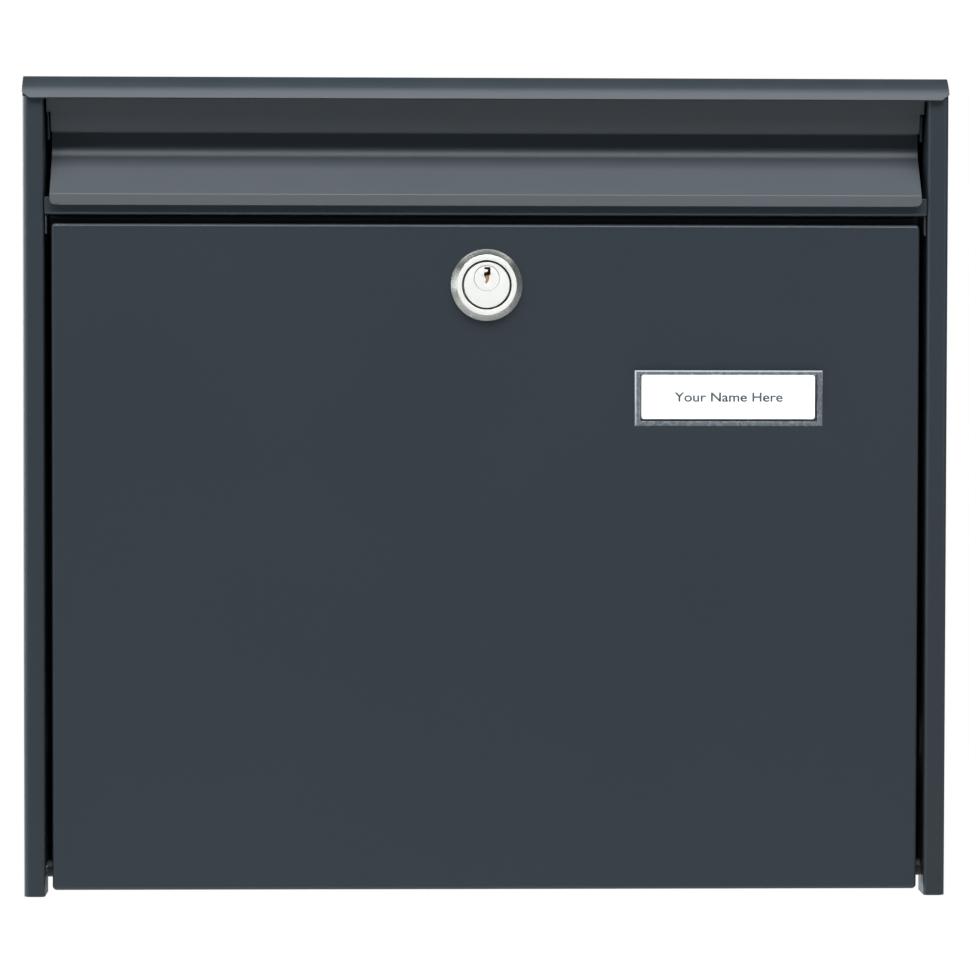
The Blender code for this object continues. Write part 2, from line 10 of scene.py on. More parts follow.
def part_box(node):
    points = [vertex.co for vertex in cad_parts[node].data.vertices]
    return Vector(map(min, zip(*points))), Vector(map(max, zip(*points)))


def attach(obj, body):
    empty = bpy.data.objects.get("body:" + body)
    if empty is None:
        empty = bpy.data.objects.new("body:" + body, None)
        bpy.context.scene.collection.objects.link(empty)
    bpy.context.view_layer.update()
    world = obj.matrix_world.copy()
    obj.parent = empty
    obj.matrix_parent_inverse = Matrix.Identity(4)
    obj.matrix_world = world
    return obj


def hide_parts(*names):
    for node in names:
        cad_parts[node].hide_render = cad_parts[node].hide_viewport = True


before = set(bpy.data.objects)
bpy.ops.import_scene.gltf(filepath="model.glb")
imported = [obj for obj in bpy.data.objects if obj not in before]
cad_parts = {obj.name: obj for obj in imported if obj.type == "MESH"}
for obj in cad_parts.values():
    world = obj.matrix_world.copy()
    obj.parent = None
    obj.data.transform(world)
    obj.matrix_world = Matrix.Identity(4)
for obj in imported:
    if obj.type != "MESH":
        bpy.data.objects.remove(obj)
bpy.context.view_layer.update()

# The camera ---------------------------------------------------------------------------------------
# It stands a little left of the middle and above it, far enough away for a long lens, and looks
# slightly down and to the right.

MM = 0.001
CAMERA_PLACE = (-45.3, 1692.6, 61.7)
CAMERA_YAW, CAMERA_PITCH, CAMERA_ROLL = (math.radians(turn) for turn in (1.608, 2.197, 0.0995))
CAMERA_LENS, CAMERA_SENSOR = 151.2, 36.0
CAMERA_NEAR, CAMERA_FAR = 0.01, 50.0


def at(x, out, height):
    """A point in metres from millimetres: to the right, out from the wall, and up."""
    return Vector((x, -out, height)) * MM


def stand_camera():
    """Aims by yaw and pitch, then rolls the picture's right and up about the line of sight."""
    ahead = Vector(
        (
            math.sin(CAMERA_YAW) * math.cos(CAMERA_PITCH),
            math.cos(CAMERA_YAW) * math.cos(CAMERA_PITCH),
            -math.sin(CAMERA_PITCH),
        )
    )
    level = Vector((math.cos(CAMERA_YAW), -math.sin(CAMERA_YAW), 0.0))
    upright = level.cross(ahead)
    right = level * math.cos(CAMERA_ROLL) + upright * math.sin(CAMERA_ROLL)
    up = upright * math.cos(CAMERA_ROLL) - level * math.sin(CAMERA_ROLL)
    data = bpy.data.cameras.new("camera")
    data.lens = CAMERA_LENS
    data.sensor_width = CAMERA_SENSOR
    data.clip_start, data.clip_end = CAMERA_NEAR, CAMERA_FAR
    camera = bpy.data.objects.new("camera", data)
    bpy.context.scene.collection.objects.link(camera)
    turn = Matrix((right, up, -ahead)).transposed().to_4x4()
    camera.matrix_world = Matrix.Translation(at(*CAMERA_PLACE)) @ turn
    bpy.context.scene.camera = camera


stand_camera()

# Back panel ---------------------------------------------------------------------------------------
# A flat steel sheet with four holes for the wall's screws. Every sheet is 0.8 mm steel, laser cut,
# folded on a press brake and coated with anthracite powder, so the coat and the sheet work start
# here. Sizes are in millimetres.

SHEET = 0.8
GAP = 0.3
CUT_EDGE = 0.14
COAT_COLOUR = (0.0178, 0.0248, 0.0318, 1.0)
COAT_ROUGHNESS = 0.38
COAT_SHADES = (0.955, 1.045)
PEEL_SCALE, PEEL_STRENGTH, PEEL_DEPTH = 900.0, 0.35, 0.02
DUST_COLOUR, DUST_AMOUNT = (0.23, 0.22, 0.20, 1.0), 0.10
# Edge colour: partly wear, partly a painted highlight that lightens the bends and cut edges.
WEAR_AND_HIGHLIGHT_COLOUR, WEAR_AND_HIGHLIGHT_AMOUNT = (0.20, 0.23, 0.25, 1.0), 0.18
EDGE_REACH, EDGE_GAIN = 0.5, 5.0
SCREW_HOLE_RADIUS = 3.5
SCREW_HOLES_ACROSS, SCREW_HOLES_UP = 140.0, 110.0
HOLE_SIDES = 48
THROUGH_SHEET, THROUGH_FOLD = 4.0, 6.0


def math_node(tree, operation, first, second=None, clamp=False):
    node = tree.nodes.new("ShaderNodeMath")
    node.operation = operation
    node.use_clamp = clamp
    for socket, value in zip(node.inputs, (first, second)):
        if isinstance(value, bpy.types.NodeSocket):
            tree.links.new(value, socket)
        elif value is not None:
            socket.default_value = value
    return node.outputs[0]


def noise_node(tree, vector, scale, detail=2.0, roughness=0.5):
    node = tree.nodes.new("ShaderNodeTexNoise")
    node.inputs["Scale"].default_value = scale
    node.inputs["Detail"].default_value = detail
    node.inputs["Roughness"].default_value = roughness
    tree.links.new(vector, node.inputs["Vector"])
    return node.outputs["Fac"]


def new_group(name, inputs, outputs):
    """A shader node group. inputs are (name, kind, default) and outputs (name, kind)."""
    group = bpy.data.node_groups.new(name, "ShaderNodeTree")
    for label, kind, value in inputs:
        group.interface.new_socket(label, in_out="INPUT", socket_type=kind).default_value = value
    for label, kind in outputs:
        group.interface.new_socket(label, in_out="OUTPUT", socket_type=kind)
    return group, group.nodes.new("NodeGroupInput"), group.nodes.new("NodeGroupOutput")


SKIN_OUTPUTS = [
    ("Colour", "NodeSocketColor"),
    ("Roughness", "NodeSocketFloat"),
    ("Height", "NodeSocketFloat"),
]


def edge_mask_group():
    """Puts out 1 along the sheet's edges and bends and 0 on its faces."""
    group, given, out = new_group(
        "edge_mask", [("Reach", "NodeSocketFloat", EDGE_REACH * MM)], [("Mask", "NodeSocketFloat")]
    )
    soft = group.nodes.new("ShaderNodeBevel")
    soft.samples = 4
    group.links.new(given.outputs["Reach"], soft.inputs["Radius"])
    flat = group.nodes.new("ShaderNodeNewGeometry")
    facing = group.nodes.new("ShaderNodeVectorMath")
    facing.operation = "DOT_PRODUCT"
    group.links.new(soft.outputs["Normal"], facing.inputs[0])
    group.links.new(flat.outputs["Normal"], facing.inputs[1])
    turned = math_node(group, "SUBTRACT", 1.0, facing.outputs["Value"])
    group.links.new(math_node(group, "MULTIPLY", turned, EDGE_GAIN, clamp=True), out.inputs["Mask"])
    return group


def coat_skin_group():
    """A powder coat's fine orange peel and cloudiness, wear and a painted highlight on its edges, and dust
    on what faces up.
    """
    group, given, out = new_group(
        "coat_skin",
        [
            ("Colour", "NodeSocketColor", COAT_COLOUR),
            ("Roughness", "NodeSocketFloat", COAT_ROUGHNESS),
            ("Peel scale", "NodeSocketFloat", PEEL_SCALE),
            ("Dust", "NodeSocketFloat", DUST_AMOUNT),
            ("Edge", "NodeSocketFloat", 0.0),
        ],
        SKIN_OUTPUTS,
    )
    place = group.nodes.new("ShaderNodeTexCoord").outputs["Object"]
    peel = group.nodes.new("ShaderNodeTexNoise")
    peel.inputs["Detail"].default_value = 1.5
    group.links.new(place, peel.inputs["Vector"])
    group.links.new(given.outputs["Peel scale"], peel.inputs["Scale"])
    cloud = noise_node(group, place, scale=9.0, detail=3.0)
    fine = noise_node(group, place, scale=2600.0, detail=1.0)
    up = group.nodes.new("ShaderNodeSeparateXYZ")
    group.links.new(group.nodes.new("ShaderNodeNewGeometry").outputs["Normal"], up.inputs[0])
    facing_up = math_node(group, "POWER", math_node(group, "MAXIMUM", up.outputs["Z"], 0.0), 3.0)
    patches = noise_node(group, place, scale=60.0, detail=4.0, roughness=0.65)
    patchy = math_node(group, "MULTIPLY", facing_up, patches)
    dust = math_node(group, "MULTIPLY", patchy, given.outputs["Dust"], clamp=True)
    edge_patches = noise_node(group, place, scale=210.0, detail=3.0, roughness=0.7)
    patchy_edge = math_node(group, "MULTIPLY", given.outputs["Edge"], edge_patches)
    # The edges are lightened here: partly wear, partly a painted highlight.
    wear_and_highlight = math_node(group, "MULTIPLY", patchy_edge, WEAR_AND_HIGHLIGHT_AMOUNT, clamp=True)

    def blend(amount, under, over):
        node = group.nodes.new("ShaderNodeMix")
        node.data_type = "RGBA"
        group.links.new(amount, node.inputs["Factor"])
        for socket, value in ((node.inputs[6], under), (node.inputs[7], over)):
            if isinstance(value, bpy.types.NodeSocket):
                group.links.new(value, socket)
            else:
                socket.default_value = value
        return node.outputs[2]

    shade = group.nodes.new("ShaderNodeMapRange")
    shade.inputs["To Min"].default_value, shade.inputs["To Max"].default_value = COAT_SHADES
    mottle = math_node(group, "ADD", cloud, math_node(group, "MULTIPLY", fine, 0.12))
    group.links.new(mottle, shade.inputs["Value"])
    clouded = group.nodes.new("ShaderNodeVectorMath")
    clouded.operation = "SCALE"
    group.links.new(given.outputs["Colour"], clouded.inputs[0])
    group.links.new(shade.outputs["Result"], clouded.inputs["Scale"])
    dusty = blend(dust, clouded.outputs[0], DUST_COLOUR)
    group.links.new(blend(wear_and_highlight, dusty, WEAR_AND_HIGHLIGHT_COLOUR), out.inputs["Colour"])
    clouding = math_node(group, "MULTIPLY", cloud, 0.05)
    dulling = math_node(group, "MULTIPLY", dust, 0.5)
    rough = math_node(group, "ADD", given.outputs["Roughness"], clouding)
    group.links.new(math_node(group, "ADD", rough, dulling), out.inputs["Roughness"])
    group.links.new(peel.outputs["Fac"], out.inputs["Height"])
    return group


edge_mask = edge_mask_group()
coat_skin = coat_skin_group()


def new_material(name):
    material = bpy.data.materials.new(name)
    material.use_nodes = True
    tree = material.node_tree
    return material, tree, tree.nodes["Principled BSDF"]


def add_bump(tree, shader, height, strength, depth):
    bump = tree.nodes.new("ShaderNodeBump")
    bump.inputs["Strength"].default_value = strength
    bump.inputs["Distance"].default_value = depth * MM
    tree.links.new(height, bump.inputs["Height"])
    tree.links.new(bump.outputs["Normal"], shader.inputs["Normal"])


def powder_coat(name):
    material, tree, shader = new_material(name)
    edge = tree.nodes.new("ShaderNodeGroup")
    edge.node_tree = edge_mask
    skin = tree.nodes.new("ShaderNodeGroup")
    skin.node_tree = coat_skin
    tree.links.new(edge.outputs["Mask"], skin.inputs["Edge"])
    tree.links.new(skin.outputs["Colour"], shader.inputs["Base Color"])
    tree.links.new(skin.outputs["Roughness"], shader.inputs["Roughness"])
    add_bump(tree, shader, skin.outputs["Height"], PEEL_STRENGTH, PEEL_DEPTH)
    return material


anthracite = powder_coat("anthracite_powder_coat")


def object_of(name, work):
    mesh = bpy.data.meshes.new(name)
    work.to_mesh(mesh)
    work.free()
    thing = bpy.data.objects.new(name, mesh)
    bpy.context.scene.collection.objects.link(thing)
    return thing


def made_plain(thing):
    """Turns the object's modifiers into one plain mesh."""
    graph = bpy.context.evaluated_depsgraph_get()
    mesh = bpy.data.meshes.new_from_object(thing.evaluated_get(graph))
    thing.modifiers.clear()
    mesh.name = thing.name
    thing.data = mesh
    return thing


def add_cut(thing, cutters):
    for cutter in cutters:
        hole = thing.modifiers.new(cutter.name, "BOOLEAN")
        hole.object = cutter


def soften(thing, width=CUT_EDGE, segments=2, angle=50.0):
    """Breaks the sharp edges, and keeps the shading of flat faces flat."""
    if width:
        edge = thing.modifiers.new("broken_edge", "BEVEL")
        edge.width = width * MM
        edge.segments = segments
        edge.limit_method = "ANGLE"
        edge.angle_limit = math.radians(angle)
        edge.use_clamp_overlap = False
    thing.data.shade_smooth()
    smooth = thing.modifiers.new("flat_faces", "WEIGHTED_NORMAL")
    smooth.weight = 100
    smooth.keep_sharp = True


def finish_piece(
    thing, material, body, slot, *nodes, cutters=(), width=CUT_EDGE, segments=2, angle=50.0
):
    """Cuts, softens and bakes a piece, then gives it its material and body and hides the CAD nodes it
    replaces. The slot is not used.
    """
    add_cut(thing, cutters)
    soften(thing, width, segments, angle)
    made_plain(thing)
    for cutter in cutters:
        bpy.data.objects.remove(cutter)
    thing.data.materials.clear()
    thing.data.materials.append(material)
    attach(thing, body)
    if nodes:
        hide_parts(*nodes)
    return thing


def add_sheet(thing, thickness=SHEET):
    """Gives an open outer skin the sheet's thickness, inwards."""
    shell = thing.modifiers.new("sheet", "SOLIDIFY")
    shell.thickness = thickness * MM
    shell.offset = -1.0
    shell.use_even_offset = True


def rod_cutter(name, x, out, height, radius, length, axis, sides=HOLE_SIDES):
    work = bmesh.new()
    turn = Matrix.Rotation(math.pi / 2, 4, "Y" if axis == "X" else "X")
    bmesh.ops.create_cone(
        work,
        cap_ends=True,
        segments=sides,
        radius1=radius * MM,
        radius2=radius * MM,
        depth=length * MM,
        matrix=Matrix.Translation(at(x, out, height)) @ turn,
    )
    return object_of(name, work)


def box_between(work, low, high):
    size = Vector([abs(b - a) for a, b in zip(low, high)]) * MM
    middle = at(*[(a + b) / 2 for a, b in zip(low, high)])
    scale = Matrix.Diagonal((*size, 1.0))
    bmesh.ops.create_cube(work, size=1.0, matrix=Matrix.Translation(middle) @ scale)


def size_of(node):
    """A CAD node's corners in millimetres: low and high (x, out, height)."""
    low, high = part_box(node)
    return (low.x / MM, -high.y / MM, low.z / MM), (high.x / MM, -low.y / MM, high.z / MM)


def make_back_panel():
    work = bmesh.new()
    box_between(work, *size_of("back_panel"))
    thing = object_of("back_panel_sheet", work)
    holes = [
        rod_cutter(f"hole_{x}_{height}", x, SHEET / 2, height, SCREW_HOLE_RADIUS, THROUGH_SHEET, "Y")
        for x in (-SCREW_HOLES_ACROSS, SCREW_HOLES_ACROSS)
        for height in (-SCREW_HOLES_UP, SCREW_HOLES_UP)
    ]
    finish_piece(thing, anthracite, "housing", "powder_coat", "back_panel", cutters=holes)


make_back_panel()

# Side walls ---------------------------------------------------------------------------------------
# Each wall is one sheet: a narrow flange behind the back panel's edge, the side, a flange in under
# the roof, and a front flange that turns back beside the door. They are spot-welded to the back.

OPENING = 172.7
WALL_FRONT = 98.0
RETURN_END = 82.0
REAR_SKIN = SHEET + GAP
REAR_FLANGE = 166.0
SHELF_WIDTH = 12.0
FLANGE_TOP = 152.0
RETURN_TOP, RETURN_TOP_FRONT = 155.6, 94.5
SHELF_ENDS = (4.0, 84.0)
RETURN_BEND, WALL_BEND, REAR_BEND = 1.6, 2.8, 1.0
ROOF_STOPS = (95.0, 94.5, 94.0, 93.5, 93.0, 92.0, 91.0, 90.0)
BEND_STEPS = 8
NEAR = 0.01
FLAP_PIVOT = (90.0, 152.5)
DOOR_PIVOT = (87.0, -151.0)
PIN_HOLE_RADIUS = 1.8
(_, _, FOOT), (HALF, _, _) = size_of("right_side_wall")

# The roof's outer line is needed here too, because the walls' top edges follow it.
ROOF_TOP = size_of("roof_panel")[1][2]
ROOF_CREST = (91.0, ROOF_TOP - 0.95)
ROOF_PULL = (94.65, ROOF_TOP - 2.75)
ROOF_CREASE = (97.5, 155.0)
ROOF_LIP_END = (size_of("roof_panel")[1][1], 151.4)


def rounded(path, radii, segments=BEND_STEPS):
    """The path with its inner corners turned into arcs. A radius of zero keeps a corner sharp."""
    points = [Vector(path[0])]
    for before, corner, after, radius in zip(path, path[1:], path[2:], radii):
        corner = Vector(corner)
        if not radius:
            points.append(corner)
            continue
        back = (Vector(before) - corner).normalized()
        ahead = (Vector(after) - corner).normalized()
        half = back.angle(ahead) / 2
        centre = corner + (back + ahead).normalized() * radius / math.sin(half)
        start = corner + back * radius / math.tan(half) - centre
        turn = start.angle_signed(corner + ahead * radius / math.tan(half) - centre)
        for step in range(segments + 1):
            angle = -turn * step / segments
            points.append(centre + Matrix.Rotation(angle, 2) @ start)
    points.append(Vector(path[-1]))
    return points


def roof_curve(steps):
    """The roof's rounded front from the crease up to the crest."""
    low, pull, high = Vector(ROOF_CREASE), Vector(ROOF_PULL), Vector(ROOF_CREST)
    for step in range(steps + 1):
        t = step / steps
        yield low * (1 - t) ** 2 + pull * 2 * t * (1 - t) + high * t**2


def under_roof(out):
    """The height of a wall's top edge at this distance out, a sheet and a gap below the roof."""
    line = [Vector((REAR_SKIN, ROOF_TOP)), *list(roof_curve(12))[::-1]]
    for a, b in zip(line, line[1:]):
        if a.x <= out <= b.x:
            height = a.y + (b.y - a.y) * (out - a.x) / (b.x - a.x)
            slope = math.atan2(a.y - b.y, b.x - a.x)
            return height - (SHEET + GAP) / math.cos(slope)
    return FLANGE_TOP


def make_side_wall(name, side):
    corners = [
        (OPENING, RETURN_END),
        (OPENING, WALL_FRONT),
        (HALF, WALL_FRONT),
        (HALF, REAR_SKIN),
        (REAR_FLANGE, REAR_SKIN),
    ]
    plan = rounded(corners, [RETURN_BEND, WALL_BEND, REAR_BEND])
    bend = max(i for i, point in enumerate(plan) if point.y > ROOF_STOPS[0])
    plan[bend + 1 : bend + 1] = [Vector((HALF, out)) for out in (*ROOF_STOPS, *SHELF_ENDS[::-1])]
    plan.insert(1, Vector((OPENING, RETURN_TOP_FRONT)))
    work = bmesh.new()
    low, high = [], []
    for x, out in plan:
        top = FLANGE_TOP
        if x > HALF - NEAR:
            top = under_roof(out)
        elif x < OPENING + NEAR and RETURN_END - NEAR < out < RETURN_TOP_FRONT + NEAR:
            top = RETURN_TOP
        low.append(work.verts.new(at(side * x, out, FOOT)))
        high.append(work.verts.new(at(side * x, out, top)))
    faces = list(zip(low, low[1:], high[1:], high))
    back, front = SHELF_ENDS
    outer = [
        vert
        for vert, (x, out) in zip(high, plan)
        if x > HALF - NEAR and back - NEAR < out < front + NEAR
    ]
    inward = Vector((side * SHELF_WIDTH * MM, 0.0, 0.0))
    inner = [work.verts.new(vert.co - inward) for vert in outer]
    faces += list(zip(outer, outer[1:], inner[1:], inner))
    for face in faces:
        work.faces.new(face if side > 0 else face[::-1])
    thing = object_of(name + "_sheet", work)
    add_sheet(thing)
    holes = []
    for out, height in (FLAP_PIVOT, DOOR_PIVOT):
        hole = f"{name}_hole_{height:.0f}"
        holes.append(rod_cutter(hole, side * OPENING, out, height, PIN_HOLE_RADIUS, THROUGH_FOLD, "X"))
    finish_piece(thing, anthracite, "housing", "powder_coat", name, cutters=holes)


make_side_wall("left_side_wall", -1)
make_side_wall("right_side_wall", 1)

# Roof ---------------------------------------------------------------------------------------------
# One sheet over both walls. It falls slightly towards the front, rolls over the edge, and ends in
# a flat lip whose corners are clipped. A flange at the back goes down inside the back panel.

LIP_CORNER = 3.0
CREASE_EASE = 0.12
ROOF_STEPS = 16
ROOF_REAR_BEND = 0.9
ROOF_REAR_FLANGE_END = 148.0
REAR_FLANGE_INSET = 0.5


def skin_rows(work, line, inner):
    """Faces between rows of four points across, for a line of ((out, height), half width)."""
    rows = [
        [work.verts.new(at(x, *point)) for x in (-half, -inner, inner, half)] for point, half in line
    ]
    for below, above in zip(rows, rows[1:]):
        for a, b, c, d in zip(below, below[1:], above[1:], above):
            work.faces.new((a, b, c, d))
    return rows


def make_roof():
    lip, crease = Vector(ROOF_LIP_END), Vector(ROOF_CREASE)
    clip = lip.lerp(crease, LIP_CORNER / (crease - lip).length)
    curve = list(roof_curve(ROOF_STEPS))
    near_crease = [curve[0].lerp(lip, CREASE_EASE), *curve[1:]]
    inner = REAR_FLANGE - REAR_FLANGE_INSET
    line = [(lip, HALF - LIP_CORNER), (clip, HALF)]
    line += [(point, HALF) for point in near_crease]
    line.append((Vector((REAR_SKIN + ROOF_REAR_BEND, ROOF_TOP - NEAR)), HALF))
    work = bmesh.new()
    rows = skin_rows(work, line, inner)
    edge = (rows[-1][1], rows[-1][2])
    over, down = (REAR_SKIN + 2 * SHEET, ROOF_TOP), (REAR_SKIN, ROOF_REAR_FLANGE_END)
    for out, height in rounded([over, (REAR_SKIN, ROOF_TOP), down], [ROOF_REAR_BEND])[2:]:
        ahead = tuple(work.verts.new(at(x, out, height)) for x in (-inner, inner))
        work.faces.new((edge[0], edge[1], ahead[1], ahead[0]))
        edge = ahead
    thing = object_of("roof_sheet", work)
    add_sheet(thing)
    finish_piece(thing, anthracite, "housing", "powder_coat", "roof_panel")


make_roof()

# Floor --------------------------------------------------------------------------------------------
# A tray that the letters stand on, with its sides turned up against the walls, a flange up behind
# it and a low lip at the front. It stays as the frame has it.


def finish_node(name, material):
    """Gives a piece that stays as the frame has it its finished material."""
    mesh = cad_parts[name].data
    mesh.materials.clear()
    mesh.materials.append(material)


finish_node("floor_panel", anthracite)

# Crossbar -----------------------------------------------------------------------------------------
# A Z-shaped bar welded between the walls' returns by a tab at each end. The flap rests against its
# lip, the letters slide over its ledge, and the lock's cam goes up behind its leg.

CROSSBAR_UNDERSIDE = 106.1
CROSSBAR_LOW, CROSSBAR_HIGH = size_of("slot_crossbar")
CROSSBAR_HALF, CROSSBAR_FRONT, CROSSBAR_TOP = CROSSBAR_HIGH
CROSSBAR_BACK, STRIKE_BOTTOM = CROSSBAR_LOW[1] + SHEET, CROSSBAR_LOW[2]
CROSSBAR_BENDS = [1.0, 1.1]
TAB_DROP = 7.5


def make_crossbar():
    path = [
        (CROSSBAR_BACK, STRIKE_BOTTOM),
        (CROSSBAR_BACK, CROSSBAR_UNDERSIDE),
        (CROSSBAR_FRONT, CROSSBAR_UNDERSIDE),
        (CROSSBAR_FRONT, CROSSBAR_TOP),
    ]
    profile = rounded(path, CROSSBAR_BENDS)
    work = bmesh.new()
    rows = []
    for out, height in profile:
        end = CROSSBAR_HALF if out > CROSSBAR_FRONT - SHEET else CROSSBAR_HALF - SHEET
        rows.append([work.verts.new(at(x, out, height)) for x in (-end, end)])
    for below, above in zip(rows, rows[1:]):
        work.faces.new((below[0], below[1], above[1], above[0]))
    web = [i for i, point in enumerate(profile) if abs(point.y - CROSSBAR_UNDERSIDE) < NEAR]
    for column, order in ((0, 1), (1, -1)):
        edge = [rows[web[0]][column], rows[web[-1]][column]]
        down = [work.verts.new(v.co - Vector((0.0, 0.0, TAB_DROP * MM))) for v in edge]
        work.faces.new((edge[0], edge[1], down[1], down[0])[::order])
    thing = object_of("slot_crossbar_sheet", work)
    add_sheet(thing)
    finish_piece(thing, anthracite, "housing", "powder_coat", "slot_crossbar")


make_crossbar()

# Letter flap --------------------------------------------------------------------------------------
# One sheet the width of the slot. Its upper strip hangs from a pin at each end and folds back under
# to a hollow, and from there it slopes out to a lip with rounded corners, where fingers lift it.

FLAP_HALF = 170.3
FLAP_TOP_HALF = size_of("letter_flap")[1][0]
FLAP_LINE = [
    (100.0, 109.7),
    (98.6, 114.1),
    (85.3, 130.6),
    (84.6, 139.6),
    (90.6, 138.6),
    (92.6, 146.1),
    (94.6, 154.0),
]
FLAP_BENDS = [1.4, 8.0, 1.0, 0.3, 0.0]
FLAP_EAR = [
    (92.5, 156.0),
    (86.0, 156.0),
    (83.9, 152.0),
    (83.9, 135.6),
    (86.6, 135.6),
    (86.6, 143.5),
    (89.2, 146.1),
]
FLAP_CORNER, FLAP_CORNER_STEPS = 2.5, 5
FLAP_END = 4.0


def make_flap():
    line = rounded(FLAP_LINE, FLAP_BENDS)
    shapes = []
    for part in range(FLAP_CORNER_STEPS + 1):
        angle = math.pi / 2 * part / FLAP_CORNER_STEPS
        rise = FLAP_CORNER * (1 - math.cos(angle)) / (line[1] - line[0]).length
        shapes.append((line[0].lerp(line[1], rise), FLAP_HALF - FLAP_CORNER * (1 - math.sin(angle))))
    shapes += [(point, FLAP_HALF) for point in line[1:]]
    work = bmesh.new()
    rows = skin_rows(work, shapes, FLAP_HALF - FLAP_END)
    for column, side in ((0, -1), (-1, 1)):
        edge = [row[column] for row in rows[-2:]]
        ends = [work.verts.new(at(side * FLAP_TOP_HALF, *point)) for point in line[-2:]]
        work.faces.new((edge[0], ends[0], ends[1], edge[1])[::side])
        ear = [work.verts.new(at(side * FLAP_TOP_HALF, *point)) for point in FLAP_EAR]
        work.faces.new((*ends, *ear)[::-side])
    thing = object_of("letter_flap_sheet", work)
    add_sheet(thing)
    holes = [
        rod_cutter(
            f"flap_hole_{side}", side * FLAP_TOP_HALF, *FLAP_PIVOT, PIN_HOLE_RADIUS, THROUGH_SHEET, "X"
        )
        for side in (-1, 1)
    ]
    finish_piece(thing, anthracite, "flap", "powder_coat", "letter_flap", cutters=holes)


make_flap()

# Door ---------------------------------------------------------------------------------------------
# A shallow pan folded from one sheet, open at the back, that drops down on two pins at its lower
# corners. The folds are tight and their corners are closed.

(_, DOOR_BACK, DOOR_LOW), (DOOR_HALF, DOOR_FRONT, DOOR_TOP) = size_of("door_panel")
DOOR_BEND, DOOR_CORNER = 1.4, 1.7
LOCK_HEIGHT = 78.9
LOCK_HOLE_RADIUS = 9.3
ROUND_SIDES = 96
PLATE_CENTRE = (94.8, 34.8)
PEG_SPACING = 56.0
PEG_HOLE_RADIUS = 1.8


def pan_outline(inset, sides=6):
    """The door's outline as seen from the front, drawn in by an inset, with its corners rounded."""
    radius = DOOR_CORNER - inset
    points = []
    for turn, (side, level) in enumerate(((1, 1), (-1, 1), (-1, -1), (1, -1))):
        x = side * (DOOR_HALF - DOOR_CORNER)
        height = (DOOR_TOP - DOOR_CORNER) if level > 0 else (DOOR_LOW + DOOR_CORNER)
        for step in range(sides + 1):
            angle = math.pi / 2 * (turn + step / sides)
            points.append((x + radius * math.cos(angle), height + radius * math.sin(angle)))
    return points


def make_door():
    fold = [math.pi / 2 * step / BEND_STEPS for step in range(BEND_STEPS + 1)]
    levels = [(0.0, DOOR_BACK), (0.0, (DOOR_BACK + DOOR_FRONT) / 2)]
    for angle in fold:
        inset, back = DOOR_BEND * (1 - math.cos(angle)), DOOR_BEND * (1 - math.sin(angle))
        levels.append((inset, DOOR_FRONT - back))
    work = bmesh.new()
    rows = [[work.verts.new(at(x, out, up)) for x, up in pan_outline(inset)] for inset, out in levels]
    for low, high in zip(rows, rows[1:]):
        for a, b, c, d in zip(low, low[1:] + low[:1], high[1:] + high[:1], high):
            work.faces.new((a, b, c, d))
    work.faces.new(rows[-1])
    bmesh.ops.recalc_face_normals(work, faces=work.faces[:])
    if next(face for face in work.faces if len(face.verts) > 4).normal.y > 0:
        bmesh.ops.reverse_faces(work, faces=work.faces[:])
    thing = object_of("door_sheet", work)
    add_sheet(thing)
    x, height = PLATE_CENTRE
    lock_hole = (0.0, DOOR_FRONT, LOCK_HEIGHT, LOCK_HOLE_RADIUS, THROUGH_FOLD, "Y", ROUND_SIDES)
    holes = [rod_cutter("lock_hole", *lock_hole)]
    for side in (-1, 1):
        peg_hole = (x + side * PEG_SPACING / 2, DOOR_FRONT, height, PEG_HOLE_RADIUS, THROUGH_FOLD, "Y")
        pin_hole = (side * DOOR_HALF, *DOOR_PIVOT, PIN_HOLE_RADIUS, THROUGH_SHEET, "X")
        holes.append(rod_cutter(f"peg_hole_{side}", *peg_hole))
        holes.append(rod_cutter(f"pin_hole_{side}", *pin_hole))
    finish_piece(thing, anthracite, "door", "powder_coat", "door_panel", cutters=holes)


make_door()

# Pins and washers ---------------------------------------------------------------------------------
# Bright zinc-plated pins hold the flap and the door in the walls' returns, with black nylon washers
# that keep the door clear of the walls. They stay as the frame has them.


def mottled(name, pattern, dark, light, roughness, spread, bump=None, relief=None):
    """A material whose colour and roughness follow one noise pattern: (scale, detail, roughness).

    bump is (strength, depth), and relief is the bump's own pattern where it has one.
    """
    material, tree, shader = new_material(name)
    place = tree.nodes.new("ShaderNodeTexCoord").outputs["Object"]
    fleck = noise_node(tree, place, *pattern)
    tint = tree.nodes.new("ShaderNodeValToRGB")
    tint.color_ramp.elements[0].color = dark
    tint.color_ramp.elements[1].color = light
    tree.links.new(fleck, tint.inputs["Fac"])
    tree.links.new(tint.outputs["Color"], shader.inputs["Base Color"])
    rough = math_node(tree, "ADD", math_node(tree, "MULTIPLY", fleck, spread), roughness)
    tree.links.new(rough, shader.inputs["Roughness"])
    if bump:
        height = noise_node(tree, place, *relief) if relief else fleck
        add_bump(tree, shader, height, *bump)
    return material, tree, shader


zinc, _, zinc_shader = mottled(
    "zinc_plate",
    pattern=(400.0, 4.0, 0.6),
    dark=(0.42, 0.44, 0.47, 1.0),
    light=(0.66, 0.66, 0.64, 1.0),
    roughness=0.22,
    spread=0.22,
    bump=(0.2, 0.02),
    relief=(3000.0, 2.0),
)
zinc_shader.inputs["Metallic"].default_value = 1.0
nylon, _, _ = mottled(
    "black_nylon",
    pattern=(2400.0, 3.0),
    dark=(0.012, 0.012, 0.013, 1.0),
    light=(0.030, 0.030, 0.032, 1.0),
    roughness=0.42,
    spread=0.15,
    bump=(0.3, 0.03),
)
for hand in ("left", "right"):
    finish_node(f"flap_pivot_{hand}", zinc)
    finish_node(f"door_pivot_{hand}", zinc)
    finish_node(f"door_spacer_{hand}", nylon)

# Lock ---------------------------------------------------------------------------------------------
# A cam lock in a bevelled ring of turned, satin-nickelled brass. The housing's face is bright, and
# the plug sits off centre in it, with a zigzag keyway and the bare brass of the pins behind it.

